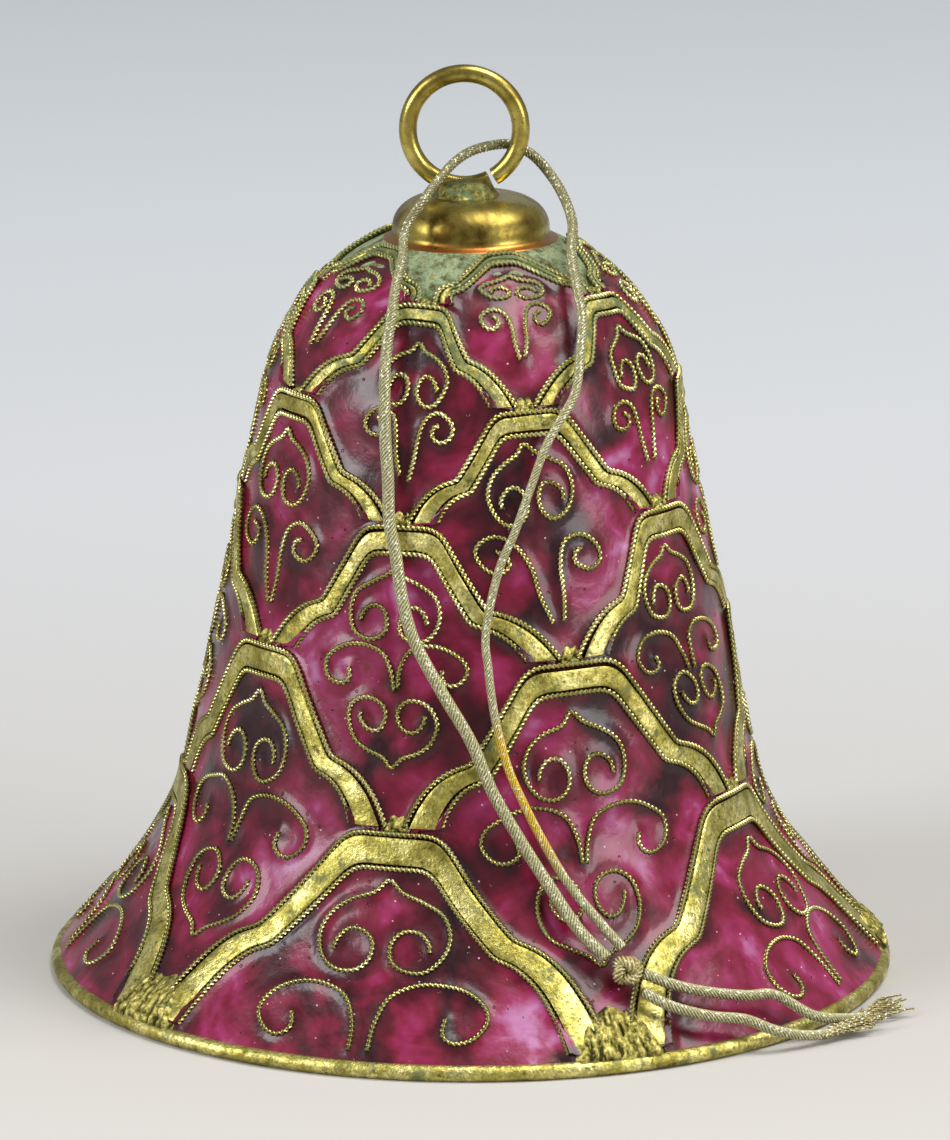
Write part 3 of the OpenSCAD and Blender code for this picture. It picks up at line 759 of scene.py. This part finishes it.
def lump(turn, run, width, height, thick, strings):
    """Strings is how many ridges run up it, side by side; 0 leaves it only rough."""
    columns, rows = (57, 33) if strings else (29, 19)
    u, v = np.meshgrid(np.linspace(-1, 1, columns), np.linspace(0, 1, rows))
    x = u * (1 - 0.5 * v ** 1.3) * width / 2
    s = run + v * height * (1 + 0.06 * np.sin(5 * u + turn))
    edge = np.clip(5 * (1 - np.abs(u)), 0, 1) * np.clip(2.5 * (1 - v), 0, 1) * np.clip(8 * v + 0.4, 0, 1)
    places = np.column_stack([x.ravel(), s.ravel() * (0.35 if strings else 1), np.full(x.size, turn)])
    rough = (wander(places, 0.3) + 0.5 * wander(places, 0.13)).reshape(x.shape)
    ridge = np.cos(math.pi * strings * (u + 0.12 * rough)) * min(strings, 1) * (1 - 0.7 * v)
    out = -0.25 + edge * (0.25 + thick) + (0.13 * rough + 0.1 * ridge) * edge
    o, i, j = bent_grid("lump", on_bell(turn + across(x, s), s, out))
    note(o, proud=np.clip(0.5 + 0.8 * rough + 0.35 * ridge, 0, 1)[i, j])
    modify(o, "SOLIDIFY", thickness=0.3 * MM, offset=-1)
    return o


lumps = [lump(turn, 0.15, 6.1, 3.5, 0.14, 10) for turn in RIM_TURN]
hand = np.random.default_rng(41)
for row in range(1, ROWS):
    for turn, _ in feet(row):
        size = hand.uniform(0.7, 1.25)
        lumps.append(lump(turn + hand.uniform(-0.8, 0.8), FOOT_RUN[row] - 0.35, 1.5 * size, 0.95 * size,
                          hand.uniform(-0.05, 0.12), 0))
foot_lumps = settle(joined(lumps), "foot_solder_lumps", ["foot_solder"], sharp=80)
print(len(lumps), "lumps of solder")

# %% [markdown]
# The pieces are in place. The floor is a plain pale cloth that runs back to a cooler, greyer
# ground, lit by soft lights: a broad one overhead, and one from each side.

# %% Floor and lights
let_go()
bpy.ops.mesh.primitive_plane_add(size=8, location=(0, 0, 0))
floor = bpy.context.object
floor.name = "floor"


def soft_light(name, place, target, size, power, colour=(1, 1, 1)):
    direction = Vector(target) - Vector(place)
    bpy.ops.object.light_add(type="AREA", location=[v * MM for v in place],
                             rotation=direction.to_track_quat("-Z", "Y").to_euler())
    light = bpy.context.object
    light.name = name
    light.data.shape = "RECTANGLE"
    light.data.size, light.data.size_y = size[0] * MM, size[1] * MM
    light.data.energy = power
    light.data.color = colour


soft_light("overhead", (300, -60, 720), (0, 0, 20), (420, 560), 6.4, (1, 0.985, 0.96))
soft_light("left", (-520, -260, 330), (0, 0, 25), (260, 360), 3.2, (0.97, 0.98, 1))
soft_light("right", (520, -340, 240), (0, 0, 20), (260, 300), 1.8, (1, 1, 1))
world = bpy.data.worlds.new("studio")
bpy.context.scene.world = world
world.use_nodes = True
world.node_tree.nodes["Background"].inputs["Color"].default_value = (0.78, 0.8, 0.84, 1)
world.node_tree.nodes["Background"].inputs["Strength"].default_value = 0.48
bpy.context.scene.view_settings.view_transform = "Standard"

# %% [markdown]
# Materials come last. One function turns a colour's hex value to linear, one adds a node with
# its settings and links, and one links what they come to. Sizes of patterns are given in
# millimetres and turned into a scale: a noise with a scale of 1 has a feature every metre or so.
# A table says which sockets a list of inputs fills, in order. A map range takes its value,
# the range it comes from and the range it goes to. Where names repeat, sockets have numbers.

# %% Helpers for materials
SOCKETS = {"TexNoise": ("Vector", "Scale", "Detail", "Roughness", "Distortion"),
           "TexVoronoi": ("Vector", "Scale"), "Mix": (0, 6, 7),
           "Bump": ("Height", "Strength", "Distance", "Normal")}
MAIN_OUTPUT = {"TexNoise": "Fac", "Attribute": "Fac", "Mix": 2}


def linear(text):
    values = [int(text[i:i + 2], 16) / 255 for i in (1, 3, 5)]
    return tuple(v / 12.92 if v <= 0.04045 else ((v + 0.055) / 1.055) ** 2.4 for v in values) + (1,)


def every(mm):
    return 1 / (mm * MM)


def add_node(tree, kind, inputs=(), stops=(), output=None, **settings):
    """One node, its settings and its inputs, each a value, a hex colour or another node's output.

    It returns the main output, the one that is named, or the whole node for output="node".
    """
    node = tree.nodes.new("ShaderNode" + kind)
    for key, value in settings.items():
        setattr(node, key, value)
    if kind == "Mix":
        node.data_type = "RGBA"
    for key, value in zip(SOCKETS.get(kind, range(5)), inputs):
        if isinstance(value, bpy.types.NodeSocket):
            tree.links.new(value, node.inputs[key])
        else:
            node.inputs[key].default_value = linear(value) if isinstance(value, str) else value
    for i, (place, colour) in enumerate(stops):
        ramp = node.color_ramp.elements
        element = ramp[i] if i < 2 else ramp.new(place)
        element.position = place
        element.color = linear(colour) if isinstance(colour, str) else (colour,) * 3 + (1,)
    return node if output == "node" else node.outputs[output or MAIN_OUTPUT.get(kind, 0)]


def new_finish(name, **constants):
    """A material, the function that adds a node to it, and the object's own coordinates."""
    made = bpy.data.materials.new(name)
    made.use_nodes = True
    for key, value in constants.items():
        made.node_tree.nodes["Principled BSDF"].inputs[key.replace("_", " ")].default_value = value
    node = partial(add_node, made.node_tree)
    return made, node, node("TexCoord", output="Object")


def wear(finish, pieces, **sockets):
    """Links the sockets of the material's shader and puts it on the pieces."""
    tree = finish.node_tree
    for key, value in sockets.items():
        tree.links.new(value, tree.nodes["Principled BSDF"].inputs[key.replace("_", " ")])
    for o in pieces:
        o.data.materials.clear()
        o.data.materials.append(finish)
    print(finish.name, "on", len(pieces), "pieces")


def height_share(node, place, low, high):
    height = node("SeparateXYZ", [place], output="Z")
    return node("MapRange", [height, low * MM, high * MM])


def damp(node, place, base, size, spread, top):
    """How much verdigris there is: patches of a size, more of them towards the cap."""
    patches = node("TexNoise", [place, every(size), 4.0, 0.65])
    nearer = node("Math", [height_share(node, place, 36, 46.5), top], operation="MULTIPLY")
    return node("MapRange", [node("Math", [patches, nearer], operation="ADD"), base, base + spread])


# %% [markdown]
# Gilt ribbon: rolled brass with a thin fire gilding. Rubbed places are pale yellow gold, the
# rest is duller, with a fine grain from the rolling, dark specks where the gilding has gone,
# and green verdigris, most of it near the cap where damp sat.

# %% Rolled gilt ribbon
gilt, node, place = new_finish("rolled_gilt_brass", Metallic=1.0)
patches = node("TexNoise", [place, every(2.4), 5.0, 0.68])
grain = node("TexNoise", [place, every(0.2), 2.0])
specks = node("TexNoise", [place, every(0.5), 4.0, 0.75])
colour = node("ValToRGB", [patches], [(0.34, "#756d33"), (0.46, "#b5aa57"), (0.6, "#ebe092")])
rubbed = node("TexNoise", [place, every(1.1), 6.0, 0.72])
for noise_at, low, high, most, tarnish in ((grain, 0.42, 0.62, 0.5, "#7d7335"),
                                           (specks, 0.56, 0.66, 0.85, "#4a481f"),
                                           (rubbed, 0.52, 0.62, 0.55, "#76713a")):
    share = node("MapRange", [noise_at, low, high, 0.0, most])
    colour = node("Mix", [share, colour, tarnish])
green = damp(node, place, 0.57, 1.1, 0.16, 0.26)
colour = node("Mix", [green, colour, "#77805a"])
rough = node("MapRange", [patches, 0.35, 0.65, 0.52, 0.33])
duller = node("Math", [green, 0.35, rough], operation="MULTIPLY_ADD")
shallow = node("Bump", [grain, 0.6, 0.05 * MM])
dents = node("Bump", [specks, 0.7, 0.12 * MM, shallow])
wear(gilt, gilt_pieces + [bead], Base_Color=colour, Roughness=duller, Normal=dents)

# %% [markdown]
# Twisted gilt wire: the strands' crowns are rubbed bright and the grooves between them are dark,
# partly black and green tarnish and partly painted shade, which is what makes the twist show.
# The groove comes from the number that the weaving left on each point.

# %% Twisted gilt wire
twisted, node, place = new_finish("twisted_gilt_wire", Metallic=1.0)
proud = node("Attribute", attribute_name="proud")
patches = node("TexNoise", [place, every(3.1), 4.0, 0.6])
gold = node("ValToRGB", [patches], [(0.36, "#968c4e"), (0.5, "#c3b86e"), (0.63, "#efe6a6")])
crown_share = node("MapRange", [proud, 0.0, 0.6])
# Dark grooves: partly black and green tarnish, partly painted shade.
colour = node("Mix", [crown_share, "#4c4726", gold])
# Darker towards the mouth: from 34 mm down to 8 mm it mixes up to half way to a darker olive.
darker_towards_mouth = node("MapRange", [height_share(node, place, 8, 34), 0.0, 1.0, 0.5, 0.0])
colour = node("Mix", [darker_towards_mouth, colour, "#6f6b42"])
green = damp(node, place, 0.52, 1.4, 0.22, 0.2)
green_share = node("Math", [green, 0.75], operation="MULTIPLY")
colour = node("Mix", [green_share, colour, "#727c56"])
rough = node("Math", [green, 0.3, 0.3], operation="MULTIPLY_ADD")
wear(twisted, wire_pieces + filigree_pieces, Base_Color=colour, Roughness=rough)

# %% [markdown]
# Fired ruby enamel: lead glass coloured with gold. It is clear and deep crimson beside a wire,
# and in the open it clouds to magenta, mauve and a milky pink, in soft patches a few
# millimetres wide. The surface is glossy, with pinholes from gas, a few white unmelted grains
# and a faint ripple.

# %% Fired ruby enamel
ruby, node, place = new_finish("fired_ruby_enamel", IOR=1.5, Specular_IOR_Level=0.24, Coat_Weight=0.32,
                               Coat_Roughness=0.18, Coat_IOR=1.5)
open_glass = node("Attribute", attribute_name="open_glass")
clouds = node("TexNoise", [place, every(4.2), 3.0, 0.5, 0.6])
wisps = node("TexNoise", [place, every(1.3), 3.0, 0.55])
tints = node("TexNoise", [place, every(13), 1.0])
level = node("MapRange", [tints, 0.35, 0.65, -0.08, 0.08])
tinted = node("Math", [clouds, level], operation="ADD")
mixed = node("Math", [wisps, 0.2, tinted], operation="MULTIPLY_ADD")
cloudy = node("Math", [open_glass, 0.16, mixed], operation="MULTIPLY_ADD")
glass = node("ValToRGB", [cloudy], [(0.5, "#24020a"), (0.62, "#480515"), (0.73, "#6c0b2a"),
                                    (0.84, "#86204e"), (0.96, "#a2668f")])
grains = node("TexVoronoi", [place, every(0.75)], output="node")
grain_share = node("MapRange", [grains.outputs["Distance"], 0.1, 0.05, 0.0, 0.6])
some = node("SeparateColor", [grains.outputs["Color"]], output="Red")
chosen = node("Math", [some, 0.62], operation="GREATER_THAN")
white_share = node("Math", [grain_share, chosen], operation="MULTIPLY")
speckled = node("Mix", [white_share, glass, "#e2cbd8"])
holes = node("TexVoronoi", [place, every(1.05)], output="Distance")
hole_share = node("MapRange", [holes, 0.11, 0.06])
pitted = node("Mix", [hole_share, speckled, "#24060f"])
ripple = node("Bump", [wisps, 0.3, 0.16 * MM])
dip = node("Math", [hole_share, -1.0], operation="MULTIPLY")
pinholes = node("Bump", [dip, 0.6, 0.05 * MM, ripple])
rough = node("MapRange", [wisps, 0.35, 0.65, 0.28, 0.42])
wear(ruby, enamel_pieces, Base_Color=pitted, Roughness=rough, Normal=pinholes, Coat_Normal=pinholes)

# %% [markdown]
# Polished brass, left bare for years: the cap, ring and clapper. It reflects softly,
# with brown stains, small pits, and copper showing where the cap's flange was rubbed.

# %% Aged polished brass
brass, node, place = new_finish("aged_polished_brass", Metallic=1.0)
stains = node("TexNoise", [place, every(2.8), 5.0, 0.62, 0.3])
pits = node("TexNoise", [place, every(0.34), 3.0, 0.7])
metal = node("ValToRGB", [stains], [(0.33, "#57451c"), (0.44, "#847336"), (0.56, "#aa9a4c"),
                                    (0.7, "#c9bb6c")])
on_flange = node("ValToRGB", [height_share(node, place, 45.6, 46.5)],
                 [(0.0, 0.0), (0.02, 0.95), (0.5, 0.8), (0.95, 0.0)])
coppered = node("Mix", [on_flange, metal, "#a8642f"])
pit_share = node("MapRange", [pits, 0.63, 0.7, 0.0, 0.8])
pitted = node("Mix", [pit_share, coppered, "#40300f"])
rough = node("MapRange", [stains, 0.35, 0.65, 0.4, 0.22])
bumps = node("Bump", [pits, 0.3, 0.04 * MM])
clapper_pieces = [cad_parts[name] for name in ("clapper_link", "clapper_wire", "clapper_ball")]
wear(brass, [cap, ring] + clapper_pieces, Base_Color=pitted, Roughness=rough, Normal=bumps)

# %% [markdown]
# Spun copper, oxidised dark brown inside the bell. Outside it only shows in the small gaps
# below the cap, under a crust of verdigris, which is no metal and lies rough.

# %% Oxidised copper
copper, node, place = new_finish("oxidised_spun_copper")
clouds = node("TexNoise", [place, every(5.0), 5.0, 0.6])
brown = node("ValToRGB", [clouds], [(0.35, "#3b2113"), (0.52, "#6d3f24"), (0.68, "#9a6036")])
fine = node("TexNoise", [place, every(0.9), 6.0, 0.72])
crust = node("ValToRGB", [fine], [(0.36, "#33301b"), (0.44, "#5d6038"), (0.5, "#6f7f58"),
                                  (0.57, "#8f9b78"), (0.63, "#6b6a3c"), (0.7, "#a39248")])
crusted = node("MapRange", [height_share(node, place, 42.9, 43.9), 0.1, 0.9])
colour = node("Mix", [crusted, brown, crust])
bare = node("Math", [1.0, crusted], operation="SUBTRACT")
bumps = node("Bump", [fine, 0.8, 0.35 * MM])
rough = node("Math", [crusted, 0.4, 0.42], operation="MULTIPLY_ADD")
wear(copper, [shell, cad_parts["clapper_staple"]], Base_Color=colour, Metallic=bare,
     Roughness=rough, Normal=bumps)

# %% [markdown]
# Gilded solder: run in hot and never cleaned up, so it is rough and bright gold only on its
# highest strings. Its hollows are dark, partly grey-green tarnish and partly painted shade.

# %% Rough gilded solder
solder, node, place = new_finish("rough_gilded_solder", Metallic=1.0)
lumpy = node("TexNoise", [place, every(0.42), 5.0, 0.7])
tone = node("ValToRGB", [lumpy], [(0.34, "#4a4622"), (0.46, "#948a48"), (0.57, "#c6b968"),
                                  (0.68, "#efe59c")])
raised = node("MapRange", [node("Attribute", attribute_name="proud"), 0.1, 0.65])
# Hollows painted near black: partly grey-green tarnish, partly painted shade.
stringy = node("Mix", [raised, "#353317", tone])
green = damp(node, place, 0.58, 0.8, 0.15, 0.12)
colour = node("Mix", [green, stringy, "#55664a"])
bumps = node("Bump", [lumpy, 0.9, 0.14 * MM])
rough = node("MapRange", [lumpy, 0.4, 0.65, 0.6, 0.32])
wear(solder, [saddle, foot_lumps], Base_Color=colour, Roughness=rough, Normal=bumps)

# %% [markdown]
# Metallic thread: film cut to hair-thin strips and twisted round a core. The strips are pale,
# with glints painted in as near-white specks. The hollows between the plies are darker olive,
# partly the thread's own tone and partly painted shade, and one stretch of a leg is still the
# strong yellow that the rest has faded from. Higher up, towards the ring, it is darker.

# %% Twisted metallic thread
thread, node, place = new_finish("twisted_metallic_thread", Metallic=0.35)
proud = node("Attribute", attribute_name="proud")
yellow = node("Attribute", attribute_name="gold")
glints = node("TexNoise", [place, every(0.17), 2.0, 0.7])
# Darker hollows between the plies: partly the thread's own olive, partly painted shade.
faded = node("Mix", [proud, "#545029", "#b7b285"])
strong = node("Mix", [proud, "#7a5f0c", "#e2bd2a"])
dyed = node("Mix", [yellow, faded, strong])
shade_share = node("MapRange", [height_share(node, place, 38, 50), 0.0, 1.0, 0.0, 0.8])
shaded = node("Mix", [shade_share, dyed, "#645f38"])
# Painted glints: near-white specks in the colour wherever the fine noise is high.
painted_glint_share = node("MapRange", [glints, 0.57, 0.64, 0.0, 0.8])
colour = node("Mix", [painted_glint_share, shaded, "#f2efd8"])
rough = node("MapRange", [glints, 0.4, 0.65, 0.6, 0.25])
bumps = node("Bump", [glints, 0.5, 0.05 * MM])
wear(thread, [cord, tails, knot, frays], Base_Color=colour, Roughness=rough, Normal=bumps)

# %% [markdown]
# The floor is matt white cotton in front and a cooler grey behind it, with soft changes and no
# pattern. Round and behind the bell it is a little darker, partly the cloth's edge and partly a
# painted shadow of the bell.

# %% Pale cloth
cloth, node, place = new_finish("pale_matt_cloth", Roughness=0.9, Specular_IOR_Level=0.15)
back = node("SeparateXYZ", [place], output="Y")
depth = node("MapRange", [back, -70 * MM, 260 * MM])
# Darker from about 0 to 50 mm back, round and behind the bell: partly the cloth's edge, partly painted
# shadow.
pale = node("ValToRGB", [depth], [(0.0, "#bab7b3"), (0.2, "#b0ada8"), (0.36, "#afaeac"),
                                  (0.6, "#b7b8ba"), (1.0, "#babec1")])
wear(cloth, [floor], Base_Color=pale)

# %% [markdown]
# Blender mustn't change the object's size.

# %% The end
bpy.context.view_layer.update()
